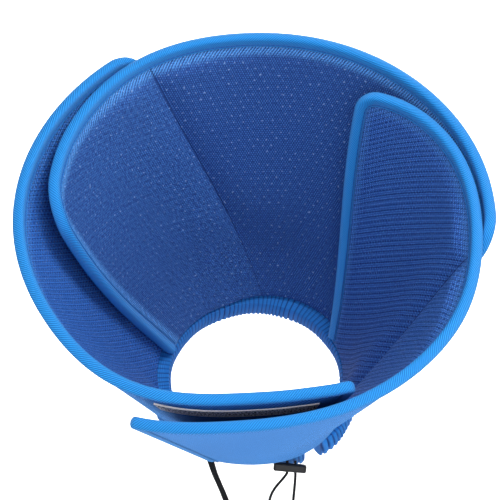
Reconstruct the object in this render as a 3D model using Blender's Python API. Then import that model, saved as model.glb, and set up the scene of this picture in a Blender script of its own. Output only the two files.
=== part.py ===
"""Soft recovery cone, in the form that it has when worn.

Three padded cloth panels make the cone. Going clockwise, as seen from the open end,
each panel starts as the inner layer and ends as the outer layer, over the start of the
next one. A twill binding is rolled over the free edges of every panel, a gathered band
with a drawcord closes the neck opening, and the right panel ends in a flap at the front.

The panels are worked out in the cone's own frame: its axis is +Z, the neck seam lies at
Z = 0 and the open end faces +Z. An empty then tilts the whole cone to its worn pose,
where -Y is the front and +Z is up. What hangs from it hangs straight down.
"""

import math
from collections import namedtuple

import bmesh
import bpy
from mathutils import Matrix, Vector

# Sizes in metres and angles in degrees
NECK_RADIUS = 0.0600          # middle of the inner wall at the neck seam
RIM_RADIUS = 0.1440           # binding at the open end, before the dents of each panel
CONE_HEIGHT = 0.1880          # neck seam to rim, along the axis
WORN_TILT = 51.0              # the axis leans forward from upright by this much
WALL = 0.0046                 # padded wall: mesh, foam and mesh
LAYER_STEP = 0.0073           # the outer layer's extra radius at the neck
CREASE_PAST_EDGE = 1.5        # a wall turns outwards just past its neighbour's end
EDGE_CLEARANCE = 0.0003       # cloth to binding, tape and band

BINDING_FACE = 0.0085         # how far the rolled binding reaches over the cloth
BINDING_CLOTH = 0.0007        # one layer of twill
BINDING_ROLL = 0.0014         # the roll past the cloth's edge
BINDING_HEM = 0.0020          # bare cloth between the neck seam and the binding

BAND_HEIGHT = 0.0175          # gathered casing at the neck
BAND_THICKNESS = 0.0130
BAND_SEAM_GAP = 0.0014        # the tilted lower edge of the walls clears the band's top
BAND_START = -60.0            # where the casing's flat end lies, under the toggle
BAND_SPAN = 349.0
PLEATS = 84
PLEAT_DEPTH = 0.0011

TAPE_WIDTH = 0.0200           # closure tape on the outside of the left panel's start
TAPE_THICKNESS = 0.0012
TAPE_BELOW_RIM = 0.0215
TAPE_FROM_TURN = 8.0
TAPE_TO_TURN = 52.0

TOGGLE_LENGTH = 0.0220
TOGGLE_HEIGHT = 0.0056
TOGGLE_DEPTH = 0.0060
TOGGLE_ROUNDING = 0.0013
TOGGLE_AT = -69.5             # place round the neck, as an angle in the cone's frame
TOGGLE_SLOPE = 5.0            # its right end hangs lower
TOGGLE_FROM_BAND = (0.0006, -0.0042, -0.0024)   # its middle, from that place
CORD_DIAMETER = 0.0018
CORD_HOLE_GAP = 0.0003
CORD_HOLES = (-0.0018, 0.0036)

TIE_WIDTH = 0.0045
TIE_THICKNESS = 0.0010
TIE_AT = -119.0

# Facets
WALL_ROWS = 8
WALL_STEP = 5.2               # degrees between two columns of a wall
CORNER_STEPS = 4
TAPE_STEPS = 12
CORD_SIDES = 2                # bevel resolution of the drawcord
CORD_POINTS = 44
TIE_POINTS = 22

# One row for each section of a panel. turn is the share of the panel's span, rim_out the
# rim's radius past RIM_RADIUS as a share of it, rim_drop how much lower the rim lies as a
# share of CONE_HEIGHT, and hem_out and hem_drop the same at the neck, as shares of
# NECK_RADIUS and of CONE_HEIGHT.
Section = namedtuple("Section", "turn rim_out rim_drop hem_out hem_drop")

# start is the angle of the first edge at the rim, span what the panel covers clockwise,
# the leans say how far each edge has moved into the panel at the neck, and start_bow how
# far the first edge bows out of it halfway up. The corners are radii.
Panel = namedtuple("Panel", "name start span start_lean start_bow end_lean "
                            "start_corner end_corner sections")

TOP = Panel("top", 178.5, 186.5, 16.0, 5.0, 0.0, 0.026, 0.022, (
    Section(0.00, -0.130, 0.000, 0.00, 0.000),
    Section(0.07, -0.100, 0.000, 0.00, 0.000),
    Section(0.16, -0.065, 0.000, 0.00, 0.000),
    Section(0.31, -0.018, 0.000, 0.00, 0.000),
    Section(0.47, -0.016, 0.000, 0.00, 0.000),
    Section(0.63, 0.000, 0.000, 0.00, 0.000),
    Section(0.80, 0.010, 0.000, 0.00, 0.000),
    Section(1.00, 0.016, 0.000, 0.00, 0.000),
))
RIGHT = Panel("right", 55.0, 172.5, 25.0, 0.0, 2.0, 0.014, 0.004, (
    Section(0.00, -0.190, 0.000, 0.00, 0.000),
    Section(0.08, -0.110, 0.000, 0.00, 0.000),
    Section(0.18, -0.065, 0.000, 0.00, 0.000),
    Section(0.36, -0.042, 0.000, 0.00, 0.000),
    Section(0.51, 0.003, 0.000, 0.00, 0.000),
    Section(0.69, 0.030, 0.000, 0.00, 0.000),
    Section(0.86, 0.050, 0.012, 0.00, 0.004),
    Section(1.00, 0.112, 0.062, 0.03, 0.008),
))
LEFT = Panel("left", -64.5, 175.5, 0.0, 0.0, 0.0, 0.007, 0.020, (
    Section(0.00, -0.048, 0.000, 0.00, 0.000),
    Section(0.08, -0.078, 0.000, 0.00, 0.000),
    Section(0.17, -0.072, 0.000, 0.00, 0.000),
    Section(0.33, 0.012, 0.000, 0.00, 0.000),
    Section(0.50, 0.013, 0.000, 0.00, 0.000),
    Section(0.67, 0.024, 0.000, 0.00, 0.000),
    Section(0.85, 0.032, 0.000, 0.00, 0.000),
    Section(1.00, 0.048, 0.000, 0.00, 0.000),
))
PANELS = (TOP, RIGHT, LEFT)

# The casing's section, walked round once: shares of half its thickness and of its height,
# and how much of the pleat's depth each corner shows.
BandCorner = namedtuple("BandCorner", "out down pleat")
BAND_FRONT = BandCorner(1.00, 0.30, 1.0)      # carries the tie
BAND_UNDER = BandCorner(0.95, 0.68, 1.0)      # carries the toggle
BAND_SECTION = (
    BandCorner(-0.85, 0.00, 0.0),
    BandCorner(0.85, 0.00, 0.0),
    BAND_FRONT,
    BAND_UNDER,
    BandCorner(0.45, 1.00, 1.0),
    BandCorner(-0.30, 1.00, 0.8),
    BandCorner(-0.85, 0.68, 0.5),
    BandCorner(-1.00, 0.30, 0.5),
)
# Along the casing, clockwise from its flat end: how far it lies inside the seam's circle
# as a share of NECK_RADIUS, how thick and how high it is, and how deep its pleats are.
BandRow = namedtuple("BandRow", "turn inset thick high pleat")
BAND_ROWS = (
    BandRow(0.000, 0.030, 0.55, 1.20, 0.3),
    BandRow(0.030, 0.080, 0.65, 1.10, 0.6),
    BandRow(0.070, 0.165, 0.80, 1.00, 1.0),
    BandRow(0.130, 0.180, 0.85, 1.00, 1.0),
    BandRow(0.190, 0.080, 1.00, 1.00, 1.0),
    BandRow(0.260, 0.000, 1.00, 1.00, 1.0),
    BandRow(0.940, 0.000, 1.00, 1.00, 1.0),
    BandRow(0.975, 0.005, 1.00, 1.05, 1.1),
    BandRow(1.000, 0.020, 0.85, 1.15, 1.2),
)

# The drawcord's loop below the toggle, as steps sideways, forwards and down from the
# toggle's middle. It leaves the casing, runs through the first hole, hangs and returns.
CORD_ROUTE = (
    (-0.0018, 0.0003, 0.0046), (-0.0018, 0.0001, 0.0038), (-0.0018, 0.0000, 0.0028),
    (-0.0018, 0.0000, -0.0028), (-0.0030, -0.0004, -0.0052), (-0.0058, -0.0008, -0.0086),
    (-0.0094, -0.0010, -0.0128), (-0.0122, -0.0008, -0.0175), (-0.0136, -0.0004, -0.0225),
    (-0.0130, 0.0000, -0.0280), (-0.0092, 0.0004, -0.0328), (-0.0036, 0.0006, -0.0336),
    (0.0008, 0.0006, -0.0300), (0.0020, 0.0004, -0.0240), (0.0026, 0.0000, -0.0180),
    (0.0032, -0.0002, -0.0115), (0.0036, 0.0000, -0.0060), (0.0036, 0.0000, -0.0028),
    (0.0036, 0.0000, 0.0028), (0.0036, 0.0001, 0.0038), (0.0036, 0.0003, 0.0046),
)
# The tie's middle line, as steps from the place on the casing where it is sewn on.
TIE_ROUTE = (
    (0.0000, 0.0000, 0.0000), (0.0006, -0.0012, -0.0034), (0.0020, -0.0024, -0.0080),
    (0.0041, -0.0038, -0.0140), (0.0067, -0.0046, -0.0200), (0.0093, -0.0050, -0.0260),
    (0.0116, -0.0050, -0.0320), (0.0134, -0.0048, -0.0380),
)
TIE_TURNS = (0.0, 12.0, 25.0, 34.0, 38.0, 34.0, 28.0, 25.0)


# Small helpers

def between(rows, share, column):
    """A smooth value from a table's rows, read by name at a share of its length."""
    share = min(max(share, rows[0].turn), rows[-1].turn)
    places = [row.turn for row in rows]
    values = [getattr(row, column) for row in rows]
    index = max(i for i in range(len(rows) - 1) if places[i] <= share)
    step = places[index + 1] - places[index]
    t = (share - places[index]) / step

    def slope(i):
        low, high = max(i - 1, 0), min(i + 1, len(rows) - 1)
        return (values[high] - values[low]) / (places[high] - places[low])

    start, end = values[index], values[index + 1]
    return (start * (2 * t**3 - 3 * t**2 + 1) + slope(index) * step * (t**3 - 2 * t**2 + t)
            + end * (3 * t**2 - 2 * t**3) + slope(index + 1) * step * (t**3 - t**2))


def smooth_route(points, count):
    """Evenly spread points on a smooth curve through a route's own points."""
    points = [Vector(p) for p in points]
    fine = []
    for i in range(len(points) - 1):
        before = points[max(i - 1, 0)]
        after = points[min(i + 2, len(points) - 1)]
        start, end = points[i], points[i + 1]
        for k in range(12):
            t = k / 12
            fine.append(0.5 * (2 * start + (end - before) * t
                               + (2 * before - 5 * start + 4 * end - after) * t * t
                               + (3 * start - before - 3 * end + after) * t**3))
    fine.append(points[-1])
    lengths = [0.0]
    for a, b in zip(fine, fine[1:]):
        lengths.append(lengths[-1] + (b - a).length)
    spread = []
    for k in range(count):
        target = lengths[-1] * k / (count - 1)
        i = min(max(j for j in range(len(lengths)) if lengths[j] <= target), len(fine) - 2)
        t = (target - lengths[i]) / (lengths[i + 1] - lengths[i])
        spread.append(fine[i].lerp(fine[i + 1], t))
    return spread


def material(name, colour, roughness, metallic=0.0):
    made = bpy.data.materials.new(name)
    made.use_nodes = True
    shader = made.node_tree.nodes["Principled BSDF"]
    shader.inputs["Base Color"].default_value = (*colour, 1.0)
    shader.inputs["Roughness"].default_value = roughness
    shader.inputs["Metallic"].default_value = metallic
    return made


def finish(name, bm, colouring, parent=None):
    """Turn a bmesh into a named object with its material."""
    bmesh.ops.recalc_face_normals(bm, faces=bm.faces)
    if bm.calc_volume(signed=True) < 0.0:
        bmesh.ops.reverse_faces(bm, faces=bm.faces)
    mesh = bpy.data.meshes.new(name)
    bm.to_mesh(mesh)
    bm.free()
    mesh.shade_smooth()
    mesh.set_sharp_from_angle(angle=math.radians(35.0))
    mesh.materials.append(colouring)
    made = bpy.data.objects.new(name, mesh)
    bpy.context.collection.objects.link(made)
    made.parent = parent
    return made


def loft(rings):
    """A closed body through rings of as many corners each."""
    bm = bmesh.new()
    loops = []
    for ring in rings:
        corners = [bm.verts.new(point) for point in ring]
        pairs = zip(corners, corners[1:] + corners[:1])
        loops.append([bm.edges.new(pair) for pair in pairs])
    for one, other in zip(loops, loops[1:]):
        bmesh.ops.bridge_loops(bm, edges=one + other)
    for end in (loops[0], loops[-1]):
        bmesh.ops.contextual_create(bm, geom=end)
    return bm


def bent_sheet(long_steps, cross_steps, bend):
    """A closed sheet: a flat grid is given two faces, and bend() puts each corner in place.

    bend() is given a corner's number along the sheet, its share across, and its side, which
    is -0.5 on the inner face and 0.5 on the outer one.
    """
    bm = bmesh.new()
    bmesh.ops.create_grid(bm, x_segments=long_steps, y_segments=cross_steps, size=0.5)
    raised = bmesh.ops.extrude_face_region(bm, geom=bm.faces[:])["geom"]
    raised = [item for item in raised if isinstance(item, bmesh.types.BMVert)]
    bmesh.ops.translate(bm, verts=raised, vec=(0.0, 0.0, 1.0))
    for corner in bm.verts:
        along = round((corner.co.x + 0.5) * long_steps)
        corner.co = bend(along, corner.co.y + 0.5, corner.co.z - 0.5)
    return bm


# The panels' shared surface

def neighbour(panel, step):
    return PANELS[(PANELS.index(panel) + step) % len(PANELS)]


def crease_turn(panel):
    """Where the panel before this one ends, as a turn of this panel."""
    before = neighbour(panel, -1)
    return (panel.start - before.start + before.span) % 360.0 + CREASE_PAST_EDGE


def covering_turn(panel):
    """Where the next panel starts, and this one has to be the outer layer."""
    return (panel.start - neighbour(panel, 1).start) % 360.0 - CREASE_PAST_EDGE


def layer(panel, turn):
    """0 for the inner layer and 1 for the outer one, with a crease where it leaves."""
    t = (turn - crease_turn(panel)) / (covering_turn(panel) - crease_turn(panel))
    t = min(max(t, 0.0), 1.0)
    return 1.0 - (1.0 - t) ** 2


def middle(panel, turn, climb):
    """A point of the wall's middle: turn is clockwise, climb is 0 at the neck."""
    share = turn / panel.span
    rim = RIM_RADIUS * (1.0 + between(panel.sections, share, "rim_out"))
    rim_level = CONE_HEIGHT * (1.0 - between(panel.sections, share, "rim_drop"))
    hem = NECK_RADIUS * (1.0 + between(panel.sections, share, "hem_out"))
    hem += LAYER_STEP * layer(panel, turn)
    hem_level = -CONE_HEIGHT * between(panel.sections, share, "hem_drop")
    lean = (panel.start_lean * (1.0 - share) - panel.end_lean * share) * (1.0 - climb) ** 2
    bow = panel.start_bow * (1.0 - share) * 4.0 * climb * (1.0 - climb)
    angle = math.radians(panel.start - turn - lean + bow)
    radius = hem + (rim - hem) * climb
    level = hem_level + (rim_level - hem_level) * climb
    return Vector((radius * math.cos(angle), radius * math.sin(angle), level))


def outward(panel, turn, climb):
    """The wall's own normal, away from the cone's axis."""
    step = 0.2
    low = max(turn - step, 0.0)
    high = min(turn + step, panel.span)
    along = middle(panel, high, climb) - middle(panel, low, climb)
    up = middle(panel, turn, min(climb + 0.01, 1.0)) - middle(panel, turn, max(climb - 0.01, 0.0))
    return up.cross(along).normalized()


def slant():
    return math.hypot(CONE_HEIGHT, RIM_RADIUS - NECK_RADIUS)


def columns(panel):
    """The walls' columns as (turn, highest climb), bunched where a corner is round."""
    made = []
    start_turn = math.degrees(panel.start_corner / RIM_RADIUS)
    end_turn = math.degrees(panel.end_corner / RIM_RADIUS)
    start_drop = panel.start_corner / slant()
    end_drop = panel.end_corner / slant()
    for k in range(CORNER_STEPS):
        a = math.radians(90.0 * k / CORNER_STEPS)
        made.append((start_turn * (1.0 - math.cos(a)), 1.0 - start_drop * (1.0 - math.sin(a))))
    straight = panel.span - start_turn - end_turn
    count = round(straight / WALL_STEP)
    for k in range(count + 1):
        made.append((start_turn + straight * k / count, 1.0))
    for k in reversed(range(CORNER_STEPS)):
        a = math.radians(90.0 * k / CORNER_STEPS)
        made.append((panel.span - end_turn * (1.0 - math.cos(a)),
                     1.0 - end_drop * (1.0 - math.sin(a))))
    return made


# The pieces

def make_panel(panel, colouring, parent):
    """A padded wall, bent round the cone."""
    walls = columns(panel)

    def bend(along, across, side):
        turn, top = walls[along]
        climb = top * across
        return middle(panel, turn, climb) + outward(panel, turn, climb) * WALL * side

    bm = bent_sheet(len(walls) - 1, WALL_ROWS, bend)
    return finish(f"{panel.name}_panel", bm, colouring, parent)


def binding_stations(panel):
    """The free edges, from the neck up, along the rim and down again."""
    walls = columns(panel)
    hem = BINDING_HEM / slant()
    rows = [max(i / WALL_ROWS, hem) for i in range(WALL_ROWS)]
    first_turn, first_top = walls[0]
    last_turn, last_top = walls[-1]
    up = [(first_turn, first_top * row) for row in rows]
    down = [(last_turn, last_top * row) for row in reversed(rows)]
    return up + walls + down


def stepped(panel, turn, climb, move):
    """The turn and climb that lie a short move away along the wall."""
    here = middle(panel, turn, climb)
    along = middle(panel, turn + 0.5, climb) - here
    up = middle(panel, turn, climb + 0.01) - here
    a, b, c = along.dot(along), along.dot(up), up.dot(up)
    p, q = along.dot(move), up.dot(move)
    scale = a * c - b * b
    return turn + 0.5 * (p * c - q * b) / scale, climb + 0.01 * (q * a - p * b) / scale


def make_binding(panel, colouring, parent):
    """Twill rolled over the edge: a grooved section swept along the free edges."""
    groove = WALL / 2 + EDGE_CLEARANCE
    half = groove + BINDING_CLOTH
    reach = BINDING_FACE - BINDING_ROLL - EDGE_CLEARANCE
    edge = EDGE_CLEARANCE + BINDING_ROLL
    stations = binding_stations(panel)
    places = [middle(panel, turn, climb) for turn, climb in stations]
    rings = []
    for i, (turn, climb) in enumerate(stations):
        before = places[max(i - 1, 0)]
        after = places[min(i + 1, len(places) - 1)]
        normal = outward(panel, turn, climb)
        past = (after - before).normalized().cross(normal).normalized()
        lip_turn, lip_climb = stepped(panel, turn, climb, -past * reach)
        lip = middle(panel, lip_turn, lip_climb)
        lip_normal = outward(panel, lip_turn, lip_climb)
        rings.append([
            lip - lip_normal * half,
            places[i] + past * EDGE_CLEARANCE - normal * half,
            places[i] + past * edge - normal * half / 2,
            places[i] + past * edge + normal * half / 2,
            places[i] + past * EDGE_CLEARANCE + normal * half,
            lip + lip_normal * half,
            lip + lip_normal * groove,
            places[i] + past * EDGE_CLEARANCE + normal * groove,
            places[i] + past * EDGE_CLEARANCE - normal * groove,
            lip - lip_normal * groove,
        ])
    return finish(f"{panel.name}_binding", loft(rings), colouring, parent)


def band_point(turn, corner, pleat):
    """A corner of the casing's section at a share of its length."""
    angle = math.radians(BAND_START - BAND_SPAN * turn)
    middle_radius = NECK_RADIUS * (1.0 - between(BAND_ROWS, turn, "inset")) + LAYER_STEP / 2
    depth = PLEAT_DEPTH * between(BAND_ROWS, turn, "pleat") * corner.pleat * pleat
    half = BAND_THICKNESS / 2 * between(BAND_ROWS, turn, "thick")
    radius = middle_radius + half * corner.out + math.copysign(depth, pleat * corner.out)
    height = BAND_HEIGHT * between(BAND_ROWS, turn, "high") * corner.down
    level = -BAND_SEAM_GAP - height - depth * corner.down
    return Vector((radius * math.cos(angle), radius * math.sin(angle), level))


def make_band(colouring, parent):
    """The gathered casing: every second ring stands proud as the top of a pleat."""
    rings = []
    for k in range(2 * PLEATS + 1):
        pleat = 1.0 if k % 2 else -1.0
        rings.append([band_point(k / (2 * PLEATS), corner, pleat) for corner in BAND_SECTION])
    return finish("neck_band", loft(rings), colouring, parent)


def make_tape(colouring, parent):
    """The closure tape lies on the outside of the left panel, below its rim."""
    high = 1.0 - TAPE_BELOW_RIM / slant()
    low = high - TAPE_WIDTH / slant()
    stand = WALL / 2 + EDGE_CLEARANCE + TAPE_THICKNESS / 2

    def bend(along, across, side):
        turn = TAPE_FROM_TURN + (TAPE_TO_TURN - TAPE_FROM_TURN) * along / TAPE_STEPS
        climb = low + (high - low) * across
        out = stand + TAPE_THICKNESS * side
        return middle(LEFT, turn, climb) + outward(LEFT, turn, climb) * out

    return finish("closure_tape", bent_sheet(TAPE_STEPS, 2, bend), colouring, parent)


def band_place(angle, corner, tilt):
    """A corner of the casing at the top of a pleat, in the worn pose."""
    turn = (BAND_START - angle) % 360.0 / BAND_SPAN
    return tilt @ band_point(turn, corner, 1.0)


def make_toggle(place, colouring):
    """A rounded bar with two holes for the cord."""
    bm = bmesh.new()
    bmesh.ops.create_cube(bm, size=1.0)
    bmesh.ops.scale(bm, verts=bm.verts, vec=(TOGGLE_LENGTH, TOGGLE_DEPTH, TOGGLE_HEIGHT))
    bmesh.ops.bevel(bm, geom=bm.edges[:], offset=TOGGLE_ROUNDING, offset_type="OFFSET",
                    segments=2, profile=0.5, affect="EDGES", material=-1)
    bmesh.ops.rotate(bm, verts=bm.verts, matrix=Matrix.Rotation(math.radians(TOGGLE_SLOPE), 3, "Y"))
    toggle = finish("toggle", bm, colouring)
    toggle.location = place
    for number, side in enumerate(CORD_HOLES):
        bm = bmesh.new()
        radius = CORD_DIAMETER / 2 + CORD_HOLE_GAP
        bmesh.ops.create_cone(bm, cap_ends=True, segments=12, radius1=radius, radius2=radius,
                              depth=2 * TOGGLE_HEIGHT)
        cutter = finish(f"hole_{number}", bm, colouring)
        cutter.location = place + Vector((side, 0.0, 0.0))
        cutter.hide_render = True
        cutter.display_type = "WIRE"
        cut = toggle.modifiers.new(f"hole_{number}", "BOOLEAN")
        cut.operation = "DIFFERENCE"
        cut.object = cutter
    return toggle


def make_cord(place, colouring):
    """The drawcord: one smooth curve through the toggle and round its loop."""
    curve = bpy.data.curves.new("drawcord", "CURVE")
    curve.dimensions = "3D"
    curve.bevel_depth = CORD_DIAMETER / 2
    curve.bevel_resolution = CORD_SIDES
    curve.use_fill_caps = True
    route = smooth_route([place + Vector(step) for step in CORD_ROUTE], CORD_POINTS)
    spline = curve.splines.new("POLY")
    spline.points.add(len(route) - 1)
    for point, spot in zip(spline.points, route):
        point.co = (*spot, 1.0)
    curve.materials.append(colouring)
    cord = bpy.data.objects.new("drawcord", curve)
    bpy.context.collection.objects.link(cord)
    return cord


def make_tie(place, colouring):
    """The flat tie: a thin section that turns a little as it hangs."""
    route = smooth_route([place + Vector(step) for step in TIE_ROUTE], TIE_POINTS)
    rings = []
    for i, spot in enumerate(route):
        ahead = (route[min(i + 1, len(route) - 1)] - route[max(i - 1, 0)]).normalized()
        share = i / (len(route) - 1) * (len(TIE_TURNS) - 1)
        low = min(int(share), len(TIE_TURNS) - 2)
        turned = TIE_TURNS[low] + (TIE_TURNS[low + 1] - TIE_TURNS[low]) * (share - low)
        side = Matrix.Rotation(math.radians(turned), 3, ahead) @ Vector((1.0, 0.0, 0.0))
        side = (side - ahead * side.dot(ahead)).normalized()
        face = ahead.cross(side)
        rings.append([spot + side * TIE_WIDTH / 2 * a + face * TIE_THICKNESS / 2 * b
                      for a, b in ((-1.0, 0.0), (-0.8, -1.0), (0.8, -1.0),
                                   (1.0, 0.0), (0.8, 1.0), (-0.8, 1.0))])
    return finish("tie_tape", loft(rings), colouring)


def main():
    for old in list(bpy.data.objects):
        bpy.data.objects.remove(old, do_unlink=True)

    mesh_cloth = material("mesh_cloth", (0.030, 0.090, 0.420), 0.85)
    twill = material("binding_twill", (0.015, 0.300, 0.880), 0.70)
    casing = material("casing_cloth", (0.020, 0.140, 0.620), 0.80)
    hook_tape = material("hook_tape", (0.200, 0.195, 0.185), 0.90)
    black_plastic = material("black_plastic", (0.012, 0.012, 0.013), 0.40)
    black_cord = material("black_cord", (0.015, 0.015, 0.016), 0.75)

    tilt = Matrix.Rotation(math.radians(WORN_TILT), 4, "X")
    worn = bpy.data.objects.new("worn_pose", None)
    worn.rotation_euler = (math.radians(WORN_TILT), 0.0, 0.0)
    bpy.context.collection.objects.link(worn)

    for panel in PANELS:
        make_panel(panel, mesh_cloth, worn)
        make_binding(panel, twill, worn)
    make_band(casing, worn)
    make_tape(hook_tape, worn)

    place = band_place(TOGGLE_AT, BAND_UNDER, tilt) + Vector(TOGGLE_FROM_BAND)
    make_toggle(place, black_plastic)
    make_cord(place, black_cord)
    sewn = band_place(TIE_AT, BAND_FRONT, tilt) + Vector((0.0, -TIE_THICKNESS / 2 - EDGE_CLEARANCE, 0.0))
    make_tie(sewn, black_cord)


main()
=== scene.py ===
# %% [markdown]
# # A soft recovery cone
#
# The real thing is sewn from three padded panels of knitted spacer mesh. Twill tape is rolled
# over their free edges and stitched down, a gathered casing with a drawcord closes the neck,
# and a flap closes over a strip of hook-and-loop tape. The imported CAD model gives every
# piece its place and size. This lesson dresses it: each soft solid is swapped for a piece
# of cloth with its own weave, stitches and gathers, at exactly the same place.

# %% Load the fixed frame
import math
from collections import namedtuple
from functools import lru_cache

import bmesh
import bpy
from mathutils import Matrix, Vector


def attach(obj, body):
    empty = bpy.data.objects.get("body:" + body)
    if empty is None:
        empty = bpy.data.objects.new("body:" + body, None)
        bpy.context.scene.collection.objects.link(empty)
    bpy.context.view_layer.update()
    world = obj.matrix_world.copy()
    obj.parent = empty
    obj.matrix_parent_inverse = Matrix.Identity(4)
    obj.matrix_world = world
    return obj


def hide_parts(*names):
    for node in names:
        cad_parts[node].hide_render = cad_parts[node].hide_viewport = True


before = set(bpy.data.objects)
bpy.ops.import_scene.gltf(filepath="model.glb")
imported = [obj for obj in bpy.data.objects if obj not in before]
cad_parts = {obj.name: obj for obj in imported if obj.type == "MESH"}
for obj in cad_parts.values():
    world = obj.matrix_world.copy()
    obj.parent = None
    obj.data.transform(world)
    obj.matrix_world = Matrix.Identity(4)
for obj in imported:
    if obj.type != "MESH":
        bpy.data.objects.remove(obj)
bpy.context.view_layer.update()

# %% [markdown]
# ## Camera, light and floor
#
# The cone is seen from the front and a little above, from nearly two metres away, so a long
# lens keeps its perspective flat. The light is that of a packshot: a wide soft panel high in
# front, a weaker one from each side, and a pale sky that fills the shadows. A pale floor
# lies well below the cone, which hangs in the air as it would when worn.

# %% Camera
camera = bpy.data.objects.new("camera", bpy.data.cameras.new("camera"))
bpy.context.collection.objects.link(camera)
camera.location = (0.0, -1.8832, 0.2369)
camera.rotation_euler = (math.radians(85.0), 0.0, 0.0)
camera.data.sensor_width = 36.0
camera.data.lens = 202.5
camera.data.shift_x = -0.011
camera.data.shift_y = 0.037
bpy.context.scene.camera = camera
bpy.context.scene.view_settings.view_transform = "Standard"

# %% Lights and sky
LIGHTS = (
    # name, place, what it faces, width, height, watts
    ("high_front", (0.80, -1.35, 1.60), (0.0, -0.09, 0.08), 1.30, 1.00, 38.0),
    ("low_front", (0.30, -2.30, 0.15), (0.0, -0.09, 0.00), 1.20, 0.80, 15.0),
    ("left_high", (-1.20, -1.30, 1.60), (0.0, -0.09, 0.08), 0.90, 0.90, 14.0),
    ("right_side", (1.80, -0.30, 0.90), (0.0, -0.09, 0.08), 0.90, 1.30, 9.0),
    ("behind", (0.00, 1.70, 1.40), (0.0, -0.09, 0.08), 1.60, 0.90, 14.0),
    ("backdrop_wash", (0.00, 2.20, 2.60), (0.0, 6.00, 0.90), 5.00, 2.00, 520.0),
)
for name, place, faces, width, height, watts in LIGHTS:
    lamp = bpy.data.lights.new(name, "AREA")
    lamp.shape = "RECTANGLE"
    lamp.size, lamp.size_y, lamp.energy = width, height, watts
    lit = bpy.data.objects.new(name, lamp)
    lit.location = place
    lit.rotation_euler = (Vector(faces) - Vector(place)).to_track_quat("-Z", "Y").to_euler()
    bpy.context.collection.objects.link(lit)

sky = bpy.data.worlds.new("pale_sky")
sky.use_nodes = True
sky.node_tree.nodes["Background"].inputs["Color"].default_value = (0.93, 0.96, 1.0, 1.0)
sky.node_tree.nodes["Background"].inputs["Strength"].default_value = 0.34
bpy.context.scene.world = sky


# %% [markdown]
# ## Small helpers
#
# Materials are built from nodes. `join` adds one node and feeds its inputs in order, so a
# pattern reads like a sum: a number or colour is typed in, an output of another node is
# linked. Patterns read each piece's own flat cloth map, in metres, so a knit hole or a twill
# line has its real size on every piece.

# %% Material helpers
def join(tree, kind, feeds, out=0, **settings):
    """Add a node: numbers and colours are set on its inputs, other nodes' outputs linked."""
    made = tree.nodes.new("ShaderNode" + kind)
    for key, value in settings.items():
        setattr(made, key, value)
    places = feeds.items() if isinstance(feeds, dict) else enumerate(feeds)
    for place, feed in places:
        if isinstance(feed, bpy.types.NodeSocket):
            tree.links.new(feed, made.inputs[place])
        elif feed is not None:
            made.inputs[place].default_value = feed
    return made.outputs[out]


def start_material(name, **sockets):
    """A material with its tree and its shader; plain values go straight on the shader."""
    made = bpy.data.materials.new(name)
    made.use_nodes = True
    shader = made.node_tree.nodes["Principled BSDF"]
    for socket, value in sockets.items():
        shader.inputs[socket.replace("_", " ").title()].default_value = value
    return made, made.node_tree, shader


def flat_cloth(tree, turned=0.0):
    """The piece's place on its flat cloth, in metres, turned where a weave needs it."""
    place = join(tree, "UVMap", {}, uv_map="flat_cloth")
    return join(tree, "Mapping", {"Vector": place, "Rotation": (0.0, 0.0, math.radians(turned))})


def blend_colour(tree, share, low, high):
    """Mix two colours by a share from a node."""
    made = tree.nodes.new("ShaderNodeMix")
    made.data_type = "RGBA"
    for place, feed in ((0, share), (6, low), (7, high)):
        if isinstance(feed, bpy.types.NodeSocket):
            tree.links.new(feed, made.inputs[place])
        else:
            made.inputs[place].default_value = feed
    return made.outputs[2]


def raise_by(tree, shader, height, depth):
    """Bump the surface by a height in shares of a depth in metres."""
    bumped = join(tree, "Bump", {"Strength": 1.0, "Distance": depth, "Height": height})
    tree.links.new(bumped, shader.inputs["Normal"])


def ramp(tree, value, low, high):
    """0 below low, 1 above high and smooth between them."""
    return join(tree, "MapRange", {0: value, 1: low, 2: high}, interpolation_type="SMOOTHSTEP")


# %% Floor, which sweeps up into a backdrop
floor_paper, tree, shader = start_material("pale_paper", roughness=0.9)
grain = join(tree, "TexNoise", {"Scale": 60.0, "Detail": 3.0})
tree.links.new(blend_colour(tree, grain, (0.88, 0.88, 0.88, 1.0), (0.92, 0.92, 0.92, 1.0)),
               shader.inputs["Base Color"])
FLOOR_LEVEL, FLOOR_HALF, BACKDROP_HEIGHT, SWEEP = -0.32, 6.0, 4.0, 1.6
bm = bmesh.new()
bmesh.ops.create_grid(bm, x_segments=1, y_segments=1, size=FLOOR_HALF)
bmesh.ops.translate(bm, verts=bm.verts, vec=(0.0, 0.0, FLOOR_LEVEL))
join_line = [e for e in bm.edges if all(v.co.y > 0.0 for v in e.verts)]
raised = bmesh.ops.extrude_edge_only(bm, edges=join_line)["geom"]
bmesh.ops.translate(bm, verts=[v for v in raised if isinstance(v, bmesh.types.BMVert)],
                    vec=(0.0, 0.0, BACKDROP_HEIGHT))
bmesh.ops.bevel(bm, geom=join_line, offset=SWEEP, offset_type="OFFSET", segments=10, profile=0.5,
                affect="EDGES", material=-1)
floor_mesh = bpy.data.meshes.new("floor")
bm.to_mesh(floor_mesh)
bm.free()
floor_mesh.shade_smooth()
floor_mesh.materials.append(floor_paper)
floor = bpy.data.objects.new("floor", floor_mesh)
bpy.context.collection.objects.link(floor)

# %% [markdown]
# ## Mesh helpers
#
# Everything sewn here is a strip or a sheet, so one helper does most of the modelling. It
# makes a flat grid, writes the flat cloth map on it in metres, and then bends the grid into
# place. A strip that closes on itself, such as a roll of tape, has its seam merged after.


# %% Mesh helpers
MERGE_DISTANCE = 1e-6         # corners closer than this are one corner
SHARP_FROM = 60.0             # degrees between two faces that meet in a hard edge
FINE_STEPS = 12               # between two points of a route


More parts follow.
